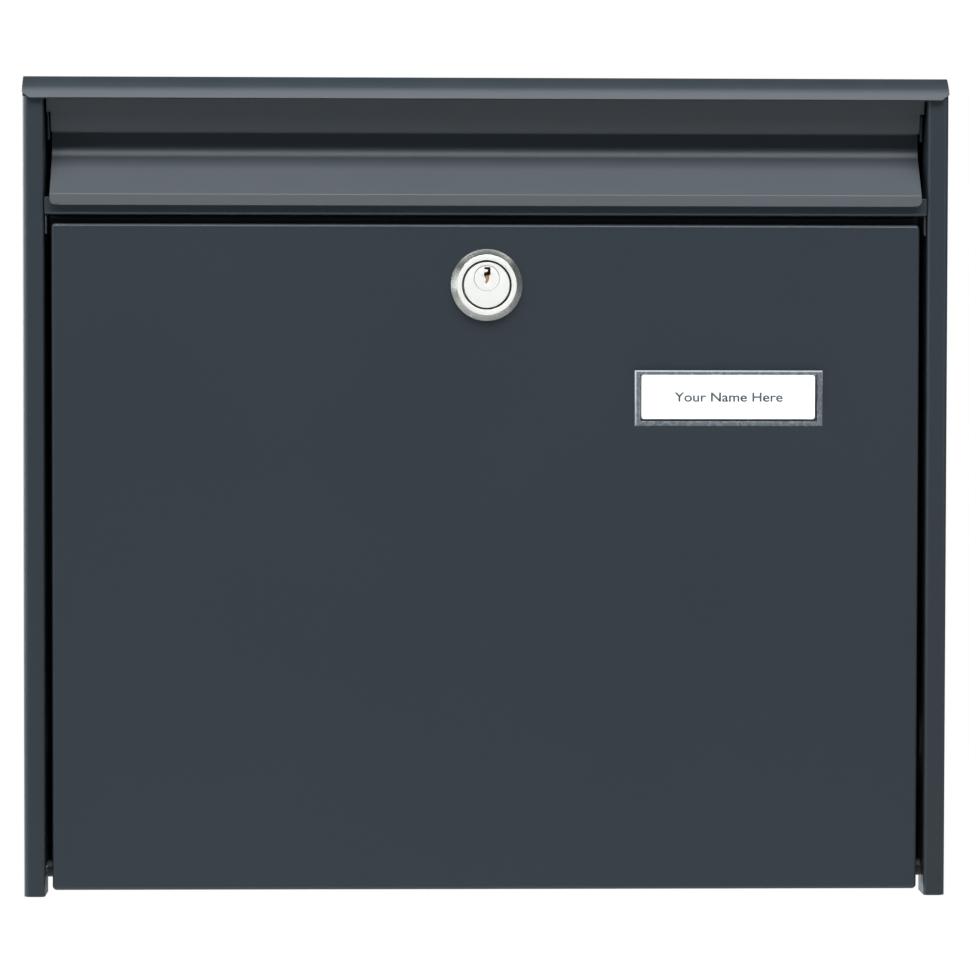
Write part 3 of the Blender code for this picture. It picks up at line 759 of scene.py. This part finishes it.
PLUG_HEIGHT = 81.5
RING_BACK, RING_FRONT = 96.8, 99.8
RING_OUTER, RING_SHOULDER, RING_BORE = 14.1, 11.6, 9.65
RING_BREAK, RING_STEP, RING_EASE = 0.15, 0.12, 0.2
RING_RIM, RING_TURN = 0.25, 0.42
FACE_FRONT, FACE_RADIUS = 99.2, 9.0
FACE_ROUND, FACE_EASE = 0.35, 0.1
GROOVE_RADIUS, GROOVE_WIDTH = 7.7, 1.6
BODY_BACK, BODY_CHAMFER = 81.0, 0.2
BORE_MIDDLE, BORE_LENGTH, BORE_PLAY = 90.0, 30.0, 0.1
PLUG_RADIUS, PLUG_FRONT, PLUG_BACK = 4.95, 99.0, 79.2
PLUG_ROUND, PLUG_EASE, PLUG_STEP = 0.3, 0.08, 0.1
STUD_RADIUS, STUD_BACK = 2.6, 75.9
KEYWAY_MOUTH, KEYWAY_TOP_DEPTH, KEYWAY_FOOT_DEPTH = 101.0, 14.0, 3.2
BRASS_ACROSS, BRASS_UP = 1.6, 4.4
BRASS_BACK, BRASS_FRONT = 80.0, 98.8
TURNED_STEPS = 128
WELD = 0.001
SAME_FACE = 0.05
KEYWAY_TOP = [
    (-0.9, 4.4),
    (1.4, 4.4),
    (1.45, 1.5),
    (0.7, 0.9),
    (-0.2, 1.1),
    (-0.7, 0.4),
    (-1.1, 1.3),
    (-1.0, 2.3),
    (0.2, 2.5),
    (0.5, 3.0),
    (0.4, 3.4),
    (-0.9, 3.4),
]
KEYWAY_FOOT = [
    (-0.7, 0.5),
    (0.2, 1.2),
    (0.9, 1.1),
    (1.05, -0.1),
    (0.5, -1.5),
    (-0.2, -2.2),
    (-0.7, -1.6),
    (-0.3, -0.6),
]


def turned_metal_group():
    """Fine rings from the lathe round an axis that points out from the wall."""
    group, given, out = new_group(
        "turned_metal",
        [
            ("Centre", "NodeSocketVector", (0.0, 0.0, 0.0)),
            ("Rings", "NodeSocketFloat", 9000.0),
            ("Light", "NodeSocketColor", (0.8, 0.8, 0.8, 1.0)),
            ("Dark", "NodeSocketColor", (0.6, 0.6, 0.6, 1.0)),
            ("Roughness", "NodeSocketFloat", 0.25),
        ],
        SKIN_OUTPUTS,
    )
    place = group.nodes.new("ShaderNodeTexCoord").outputs["Object"]
    moved = group.nodes.new("ShaderNodeVectorMath")
    moved.operation = "SUBTRACT"
    group.links.new(place, moved.inputs[0])
    group.links.new(given.outputs["Centre"], moved.inputs[1])
    flat = group.nodes.new("ShaderNodeVectorMath")
    flat.operation = "MULTIPLY"
    flat.inputs[1].default_value = (1.0, 0.0, 1.0)
    group.links.new(moved.outputs[0], flat.inputs[0])
    length = group.nodes.new("ShaderNodeVectorMath")
    length.operation = "LENGTH"
    group.links.new(flat.outputs[0], length.inputs[0])
    along = group.nodes.new("ShaderNodeSeparateXYZ")
    group.links.new(moved.outputs[0], along.inputs[0])
    rings = group.nodes.new("ShaderNodeCombineXYZ")
    spacing = math_node(group, "MULTIPLY", length.outputs["Value"], given.outputs["Rings"])
    depth = math_node(group, "MULTIPLY", along.outputs["Y"], given.outputs["Rings"])
    group.links.new(spacing, rings.inputs["X"])
    group.links.new(depth, rings.inputs["Y"])
    groove = noise_node(group, rings.outputs[0], scale=1.0, detail=3.0, roughness=0.6)
    smear = noise_node(group, place, scale=300.0, detail=3.0)
    mix = group.nodes.new("ShaderNodeMix")
    mix.data_type = "RGBA"
    both = math_node(group, "MULTIPLY", math_node(group, "ADD", groove, smear), 0.5)
    group.links.new(both, mix.inputs["Factor"])
    group.links.new(given.outputs["Dark"], mix.inputs[6])
    group.links.new(given.outputs["Light"], mix.inputs[7])
    group.links.new(mix.outputs[2], out.inputs["Colour"])
    dulling = math_node(group, "MULTIPLY", smear, 0.10)
    rough = math_node(group, "ADD", given.outputs["Roughness"], dulling)
    group.links.new(rough, out.inputs["Roughness"])
    group.links.new(groove, out.inputs["Height"])
    return group


turned_metal = turned_metal_group()


def turned_finish(name, height, light, dark, roughness, bump):
    material, tree, shader = new_material(name)
    skin = tree.nodes.new("ShaderNodeGroup")
    skin.node_tree = turned_metal
    skin.inputs["Centre"].default_value = (0.0, 0.0, height * MM)
    skin.inputs["Light"].default_value = light
    skin.inputs["Dark"].default_value = dark
    skin.inputs["Roughness"].default_value = roughness
    tree.links.new(skin.outputs["Colour"], shader.inputs["Base Color"])
    tree.links.new(skin.outputs["Roughness"], shader.inputs["Roughness"])
    shader.inputs["Metallic"].default_value = 1.0
    add_bump(tree, shader, skin.outputs["Height"], bump, depth=0.01)
    return material


ring_nickel = turned_finish(
    "turned_satin_nickel",
    height=LOCK_HEIGHT,
    light=(0.80, 0.79, 0.74, 1.0),
    dark=(0.58, 0.57, 0.52, 1.0),
    roughness=0.21,
    bump=0.35,
)
face_nickel = turned_finish(
    "bright_nickel_face",
    height=LOCK_HEIGHT,
    light=(0.89, 0.87, 0.83, 1.0),
    dark=(0.83, 0.81, 0.77, 1.0),
    roughness=0.62,
    bump=0.15,
)
pin_brass = turned_finish(
    "pin_brass",
    height=PLUG_HEIGHT,
    light=(0.95, 0.62, 0.38, 1.0),
    dark=(0.45, 0.22, 0.10, 1.0),
    roughness=0.50,
    bump=0.2,
)


def turned_piece(name, profile, height, closed):
    """A turned piece about an axis that points out from the wall. profile holds (radius, out)."""
    work = bmesh.new()
    points = [Vector((radius * MM, -out * MM, height * MM)) for radius, out in profile]
    verts = [work.verts.new(point) for point in points]
    ahead = verts[1:] + verts[:1] if closed else verts[1:]
    edges = [work.edges.new(pair) for pair in zip(verts, ahead)]
    bmesh.ops.spin(
        work,
        geom=verts + edges,
        cent=(0.0, 0.0, height * MM),
        axis=(0.0, 1.0, 0.0),
        angle=math.tau,
        steps=TURNED_STEPS,
        use_merge=True,
        use_duplicate=False,
    )
    bmesh.ops.remove_doubles(work, verts=work.verts[:], dist=WELD * MM)
    bmesh.ops.recalc_face_normals(work, faces=work.faces[:])
    return object_of(name, work)


def make_ring():
    profile = [
        (RING_BORE, RING_FRONT - RING_BREAK),
        (RING_BORE + RING_BREAK, RING_FRONT),
        (RING_SHOULDER, RING_FRONT),
        (RING_SHOULDER + RING_EASE, RING_FRONT - RING_STEP),
        (RING_OUTER - RING_STEP, RING_BACK + RING_TURN),
        (RING_OUTER, RING_BACK + RING_RIM),
        (RING_OUTER, RING_BACK),
        (RING_BORE, RING_BACK),
    ]
    thing = turned_piece("lock_ring", profile, LOCK_HEIGHT, closed=True)
    finish_piece(thing, ring_nickel, "door", "satin_nickel", "lock_rosette", width=0.0)
    thing.data.materials.append(face_nickel)
    for polygon in thing.data.polygons:
        if polygon.center.y < -(RING_FRONT - SAME_FACE) * MM:
            polygon.material_index = 1


def make_housing_face():
    groove = DOOR_FRONT - SHEET - GAP
    profile = [
        (0.0, FACE_FRONT),
        (FACE_RADIUS - FACE_ROUND, FACE_FRONT),
        (FACE_RADIUS - FACE_EASE, FACE_FRONT - FACE_EASE),
        (FACE_RADIUS, FACE_FRONT - FACE_ROUND),
        (FACE_RADIUS, groove),
        (GROOVE_RADIUS, groove),
        (GROOVE_RADIUS, groove - GROOVE_WIDTH),
        (FACE_RADIUS, groove - GROOVE_WIDTH),
        (FACE_RADIUS, BODY_BACK + BODY_CHAMFER),
        (FACE_RADIUS - BODY_CHAMFER, BODY_BACK),
        (0.0, BODY_BACK),
    ]
    thing = turned_piece("lock_body", profile, LOCK_HEIGHT, closed=False)
    radius = PLUG_RADIUS + BORE_PLAY
    bore = (0.0, BORE_MIDDLE, PLUG_HEIGHT, radius, BORE_LENGTH, "Y", ROUND_SIDES)
    cutters = [rod_cutter("plug_bore", *bore)]
    soft = {"width": 0.07, "angle": 60.0}
    finish_piece(thing, face_nickel, "door", "lock_metal", "lock_housing", cutters=cutters, **soft)


def keyway_cutter(name, outline, depth):
    work = bmesh.new()
    mouth = [work.verts.new(at(x, KEYWAY_MOUTH, PLUG_HEIGHT + up)) for x, up in outline]
    face = work.faces.new(mouth)
    deep = bmesh.ops.extrude_face_region(work, geom=[face])
    moved = [item for item in deep["geom"] if isinstance(item, bmesh.types.BMVert)]
    bmesh.ops.translate(work, verts=moved, vec=(0.0, depth * MM, 0.0))
    bmesh.ops.recalc_face_normals(work, faces=work.faces[:])
    return object_of(name, work)


def make_plug():
    profile = [
        (0.0, PLUG_FRONT),
        (PLUG_RADIUS - PLUG_ROUND, PLUG_FRONT),
        (PLUG_RADIUS - PLUG_EASE, PLUG_FRONT - PLUG_STEP),
        (PLUG_RADIUS, PLUG_FRONT - PLUG_ROUND),
        (PLUG_RADIUS, PLUG_BACK),
        (STUD_RADIUS, PLUG_BACK),
        (STUD_RADIUS, STUD_BACK),
        (0.0, STUD_BACK),
    ]
    thing = turned_piece("lock_plug_body", profile, PLUG_HEIGHT, closed=False)
    cutters = [
        keyway_cutter("keyway_top", KEYWAY_TOP, KEYWAY_TOP_DEPTH),
        keyway_cutter("keyway_foot", KEYWAY_FOOT, KEYWAY_FOOT_DEPTH),
    ]
    soft = {"width": 0.05, "angle": 60.0}
    finish_piece(
        thing, face_nickel, "lock_barrel", "lock_metal", "lock_plug", cutters=cutters, **soft
    )
    thing.data.materials.append(pin_brass)
    for polygon in thing.data.polygons:
        centre = polygon.center / MM
        inside = abs(centre.x) < BRASS_ACROSS and abs(centre.z - PLUG_HEIGHT) < BRASS_UP
        if inside and BRASS_BACK < -centre.y < BRASS_FRONT:
            polygon.material_index = 1


make_ring()
make_housing_face()
make_plug()
finish_node("lock_cam", zinc)
finish_node("lock_cam_screw", zinc)
finish_node("lock_retaining_clip", zinc)

# Nameplate ----------------------------------------------------------------------------------------
# A clear moulded plate snapped into the door, a printed card, and a clear cap over it. The cap's
# rim is painted dark grey for the door seen through it, and a painted highlight lightens its top and left
# edges.

PLATE_WIDTH, PLATE_TALL = 73.6, 21.7
CARD_WIDTH, CARD_TALL = 68.0, 17.3
BASE_BACK, BASE_FRONT = 96.8, 97.6
COVER_BACK, COVER_FRONT = 97.9, 99.9
CARD_SHIFT, CARD_RISE = -0.1, 0.5
CARD_THICKNESS, CARD_CORNER = 0.3, 1.0
RIM_ACROSS, RIM_UP = 2.0, 1.7
RIM_EDGE, RIM_ROUND, RIM_FALL = 0.5, 0.16, 0.45
RIM_STEP, RIM_EASE, RIM_DROP = 0.12, 0.2, 0.3
PAINTED_HIGHLIGHT_STEPS = 4
WINDOW_THICKNESS, WINDOW_PLAY, WINDOW_SUNK = 0.9, 0.1, 0.15
PLASTIC_IOR = 1.49
NAME = "Your Name Here"
NAME_WIDTH = 42.6
NAME_CAP_HEIGHT = 3.6
NAME_DROP = 1.3
NAME_WEIGHT = 0.02
INK_LIFT, INK_DEPTH = 0.02, 2.0


def let_light_through(tree, shader):
    """Thin clear plastic hardly throws a shadow, so light passes it to reach what is behind."""
    through = tree.nodes.new("ShaderNodeBsdfTransparent")
    path = tree.nodes.new("ShaderNodeLightPath")
    either = tree.nodes.new("ShaderNodeMixShader")
    tree.links.new(path.outputs["Is Shadow Ray"], either.inputs["Fac"])
    tree.links.new(shader.outputs[0], either.inputs[1])
    tree.links.new(through.outputs[0], either.inputs[2])
    tree.links.new(either.outputs[0], tree.nodes["Material Output"].inputs["Surface"])


def clear_moulding(name, transmission, **look):
    material, tree, shader = mottled(name, **look)
    shader.inputs["Transmission Weight"].default_value = transmission
    shader.inputs["IOR"].default_value = PLASTIC_IOR
    let_light_through(tree, shader)
    return material


clear = clear_moulding(
    "clear_plastic",
    transmission=1.0,
    pattern=(150.0, 4.0, 0.6),
    dark=(0.96, 0.97, 0.98, 1.0),
    light=(1.0, 1.0, 1.0, 1.0),
    roughness=0.03,
    spread=0.05,
    bump=(0.05, 0.1),
    relief=(90.0, 1.0),
)
rim_look = {"pattern": (420.0, 4.0, 0.6), "spread": 0.1, "bump": (0.1, 0.1), "relief": (260.0, 2.0)}
# The rim's face is painted dark grey for the door seen through the clear plastic.
rim_face = clear_moulding(
    "rim_face_plastic",
    transmission=0.2,
    dark=(0.13, 0.14, 0.15, 1.0),
    light=(0.155, 0.17, 0.185, 1.0),
    roughness=0.22,
    **rim_look,
)
# Lighter plastic for the outer edge on the top and left: a painted highlight where the light would catch
# it.
rim_painted_highlight = clear_moulding(
    "rim_painted_highlight_plastic",
    transmission=0.2,
    dark=(0.38, 0.40, 0.42, 1.0),
    light=(0.55, 0.57, 0.59, 1.0),
    roughness=0.35,
    **rim_look,
)
card_white, _, _ = mottled(
    "white_card",
    pattern=(1500.0, 4.0, 0.6),
    dark=(0.93, 0.94, 0.95, 1.0),
    light=(0.98, 0.98, 0.98, 1.0),
    roughness=0.72,
    spread=0.1,
    bump=(0.2, 0.03),
)
ink, _, _ = mottled(
    "printing_ink",
    pattern=(4000.0, 3.0),
    dark=(0.03, 0.033, 0.036, 1.0),
    light=(0.07, 0.075, 0.08, 1.0),
    roughness=0.5,
    spread=0.2,
)


def plate_box(name, wide, tall, back, front, shift=0.0, up=0.0):
    x, height = PLATE_CENTRE[0] + shift, PLATE_CENTRE[1] + up
    low = (x - wide / 2, back, height - tall / 2)
    high = (x + wide / 2, front, height + tall / 2)
    work = bmesh.new()
    box_between(work, low, high)
    return object_of(name, work)


def round_upright_edges(thing, radius):
    """Rounds the four corners of a plate as seen from the front."""
    work = bmesh.new()
    work.from_mesh(thing.data)
    across = Vector((0.0, 1.0, 0.0))
    along = []
    for edge in work.edges:
        start, end = edge.verts
        if abs((start.co - end.co).normalized().dot(across)) > 0.9:
            along.append(edge)
    bmesh.ops.bevel(work, geom=along, offset=radius * MM, segments=6, profile=0.5, affect="EDGES")
    work.to_mesh(thing.data)
    work.free()


def make_rim():
    """The cap's rim: one section carried round the plate, with a painted highlight on its top and left
    outer edge.
    """
    x, height = PLATE_CENTRE
    section = [
        (0.0, 0.0, COVER_BACK),
        (0.0, 0.0, COVER_FRONT - RIM_FALL),
        (RIM_ROUND, RIM_ROUND, COVER_FRONT - RIM_STEP),
        (RIM_EDGE, RIM_EDGE, COVER_FRONT),
        (RIM_EDGE + RIM_STEP, RIM_EDGE + RIM_STEP, COVER_FRONT - RIM_STEP),
        (RIM_ACROSS - RIM_EASE, RIM_UP - RIM_EASE, COVER_FRONT - RIM_STEP),
        (RIM_ACROSS, RIM_UP, COVER_FRONT - RIM_DROP),
        (RIM_ACROSS, RIM_UP, COVER_BACK),
    ]
    corners = ((1, 1), (-1, 1), (-1, -1), (1, -1))
    work = bmesh.new()
    loops = []
    for across, up, out in section:
        wide, tall = PLATE_WIDTH / 2 - across, PLATE_TALL / 2 - up
        places = [at(x + sx * wide, out, height + sz * tall) for sx, sz in corners]
        loops.append([work.verts.new(place) for place in places])
    for step, (low, high) in enumerate(zip(loops, loops[1:] + loops[:1])):
        sides = zip(low, low[1:] + low[:1], high[1:] + high[:1], high)
        for side, verts in enumerate(sides):
            # The outer steps on the top and left sides get the painted highlight.
            painted_highlight_side = side < 2
            work.faces.new(verts).material_index = int(painted_highlight_side and step < PAINTED_HIGHLIGHT_STEPS)
    bmesh.ops.recalc_face_normals(work, faces=work.faces[:])
    thing = object_of("nameplate_cap_rim", work)
    kept = [face.material_index for face in thing.data.polygons]
    finish_piece(thing, rim_face, "door", "clear_plastic", width=0.0)
    thing.data.materials.append(rim_painted_highlight)
    for face, index in zip(thing.data.polygons, kept):
        face.material_index = index


def make_nameplate():
    base = plate_box("nameplate_plate", PLATE_WIDTH, PLATE_TALL, BASE_BACK, BASE_FRONT)
    finish_piece(base, clear, "door", "clear_plastic", "nameplate_base", width=0.2, segments=3)
    window = plate_box(
        "nameplate_cap_window",
        PLATE_WIDTH - 2 * RIM_ACROSS - WINDOW_PLAY,
        PLATE_TALL - 2 * RIM_UP - WINDOW_PLAY,
        COVER_FRONT - WINDOW_SUNK - WINDOW_THICKNESS,
        COVER_FRONT - WINDOW_SUNK,
    )
    finish_piece(window, clear, "door", "clear_plastic", "nameplate_cover", width=0.08)
    card_front = COVER_BACK + CARD_THICKNESS
    card = plate_box(
        "printed_card", CARD_WIDTH, CARD_TALL, COVER_BACK, card_front, CARD_SHIFT, CARD_RISE
    )
    round_upright_edges(card, CARD_CORNER)
    finish_piece(card, card_white, "door", "card", "name_card", width=0.04)
    make_rim()


def make_name():
    x, height = PLATE_CENTRE
    data = bpy.data.curves.new("name", "FONT")
    data.body = NAME
    data.size = 1.0
    data.offset = NAME_WEIGHT
    data.extrude = 0.01
    data.align_x = "CENTER"
    words = bpy.data.objects.new("name_lettering_source", data)
    bpy.context.scene.collection.objects.link(words)
    graph = bpy.context.evaluated_depsgraph_get()
    mesh = bpy.data.meshes.new_from_object(words.evaluated_get(graph))
    bpy.data.objects.remove(words)
    xs = [v.co.x for v in mesh.vertices]
    ys = [v.co.y for v in mesh.vertices]
    across = NAME_WIDTH * MM / (max(xs) - min(xs))
    middle = (max(xs) + min(xs)) / 2
    upward = NAME_CAP_HEIGHT * MM / max(ys)
    foot = at(x, COVER_BACK + CARD_THICKNESS + INK_LIFT, height - NAME_DROP)
    for vertex in mesh.vertices:
        flat = vertex.co.copy()
        spread = ((flat.x - middle) * across, -flat.z * INK_DEPTH * MM, flat.y * upward)
        vertex.co = foot + Vector(spread)
    thing = bpy.data.objects.new("name_lettering", mesh)
    bpy.context.scene.collection.objects.link(thing)
    mesh.materials.clear()
    mesh.materials.append(ink)
    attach(thing, "door")


make_nameplate()
make_name()

# Studio -------------------------------------------------------------------------------------------
# A pale floor well below the box and a white surround. There is a large soft light overhead in
# front, one at each side, and at the left a narrow strip and a wide light that catches the edge.

FLOOR_HEIGHT, FLOOR_SPAN = -520.0, 1.3
FLOOR_COLOUR, FLOOR_ROUGHNESS = (0.8, 0.8, 0.8, 1.0), 0.9
LIGHT_TINT = (0.92, 0.97, 1.0)
DIM_FRONT, PALE_BELOW, WHITE_BEHIND = 0.03, 0.82, 1.0
BEHIND_AND_LEFT = (-0.71, 0.70, 0.0)
WHITE_FROM, WHITE_TO = 0.55, 0.85
PALE_FROM, PALE_TO = 0.06, -0.30


def pale_floor():
    work = bmesh.new()
    place = Matrix.Translation(at(0.0, 0.0, FLOOR_HEIGHT))
    bmesh.ops.create_grid(work, x_segments=1, y_segments=1, size=FLOOR_SPAN, matrix=place)
    thing = object_of("studio_floor", work)
    material, _, shader = new_material("pale_floor")
    shader.inputs["Base Color"].default_value = FLOOR_COLOUR
    shader.inputs["Roughness"].default_value = FLOOR_ROUGHNESS
    thing.data.materials.append(material)


def soft_box(name, azimuth, elevation, distance, wide, tall, radiance):
    """A soft light that faces the box. An azimuth of 0 is straight out, and right is positive."""
    turn, rise = math.radians(azimuth), math.radians(elevation)
    level = Vector((math.sin(turn), -math.cos(turn), 0.0)) * math.cos(rise)
    place = (level + Vector((0.0, 0.0, math.sin(rise)))) * distance
    data = bpy.data.lights.new(name, "AREA")
    data.shape = "RECTANGLE"
    data.size, data.size_y = wide, tall
    data.color = LIGHT_TINT
    data.energy = radiance * math.pi * wide * tall
    light = bpy.data.objects.new(name, data)
    bpy.context.scene.collection.objects.link(light)
    light.location = place
    light.rotation_euler = (-place).to_track_quat("-Z", "Y").to_euler()


def surround():
    """White to the camera. As a light it is dim in front, pale below, and white behind and to the left."""
    world = bpy.data.worlds.new("studio")
    bpy.context.scene.world = world
    world.use_nodes = True
    tree = world.node_tree
    tree.nodes.clear()
    out = tree.nodes.new("ShaderNodeOutputWorld")
    seen = tree.nodes.new("ShaderNodeBackground")
    lit = tree.nodes.new("ShaderNodeBackground")
    path = tree.nodes.new("ShaderNodeLightPath")
    mix = tree.nodes.new("ShaderNodeMixShader")
    tree.links.new(path.outputs["Is Camera Ray"], mix.inputs["Fac"])
    tree.links.new(lit.outputs[0], mix.inputs[1])
    tree.links.new(seen.outputs[0], mix.inputs[2])
    tree.links.new(mix.outputs[0], out.inputs["Surface"])
    seen.inputs["Color"].default_value = (1.0, 1.0, 1.0, 1.0)
    lit.inputs["Color"].default_value = (*LIGHT_TINT, 1.0)
    direction = tree.nodes.new("ShaderNodeTexCoord").outputs["Generated"]

    def rise(value, low, high, amount):
        ramp = tree.nodes.new("ShaderNodeMapRange")
        ramp.interpolation_type = "SMOOTHSTEP"
        ramp.inputs["From Min"].default_value = low
        ramp.inputs["From Max"].default_value = high
        ramp.inputs["To Min"].default_value = 0.0
        ramp.inputs["To Max"].default_value = amount
        tree.links.new(value, ramp.inputs["Value"])
        return ramp.outputs["Result"]

    parts = tree.nodes.new("ShaderNodeSeparateXYZ")
    tree.links.new(direction, parts.inputs[0])
    behind = tree.nodes.new("ShaderNodeVectorMath")
    behind.operation = "DOT_PRODUCT"
    tree.links.new(direction, behind.inputs[0])
    behind.inputs[1].default_value = BEHIND_AND_LEFT
    white = rise(behind.outputs["Value"], WHITE_FROM, WHITE_TO, WHITE_BEHIND)
    pale = rise(parts.outputs["Z"], PALE_FROM, PALE_TO, PALE_BELOW)
    strength = math_node(tree, "ADD", math_node(tree, "ADD", white, DIM_FRONT), pale)
    tree.links.new(strength, lit.inputs["Strength"])


pale_floor()
surround()
soft_box("overhead", 0.0, 57.0, 1.8, wide=3.0, tall=0.82, radiance=9.2)
soft_box("left", -64.0, 12.0, 1.9, wide=0.5, tall=1.2, radiance=3.2)
soft_box("right", 64.0, 12.0, 1.9, wide=0.5, tall=1.2, radiance=1.4)
soft_box("left_strip", -87.0, 12.0, 1.5, wide=0.25, tall=0.9, radiance=5.6)
soft_box("left_rim", -125.0, 18.0, 1.6, wide=1.0, tall=1.2, radiance=5.0)
bpy.context.scene.view_settings.view_transform = "Standard"
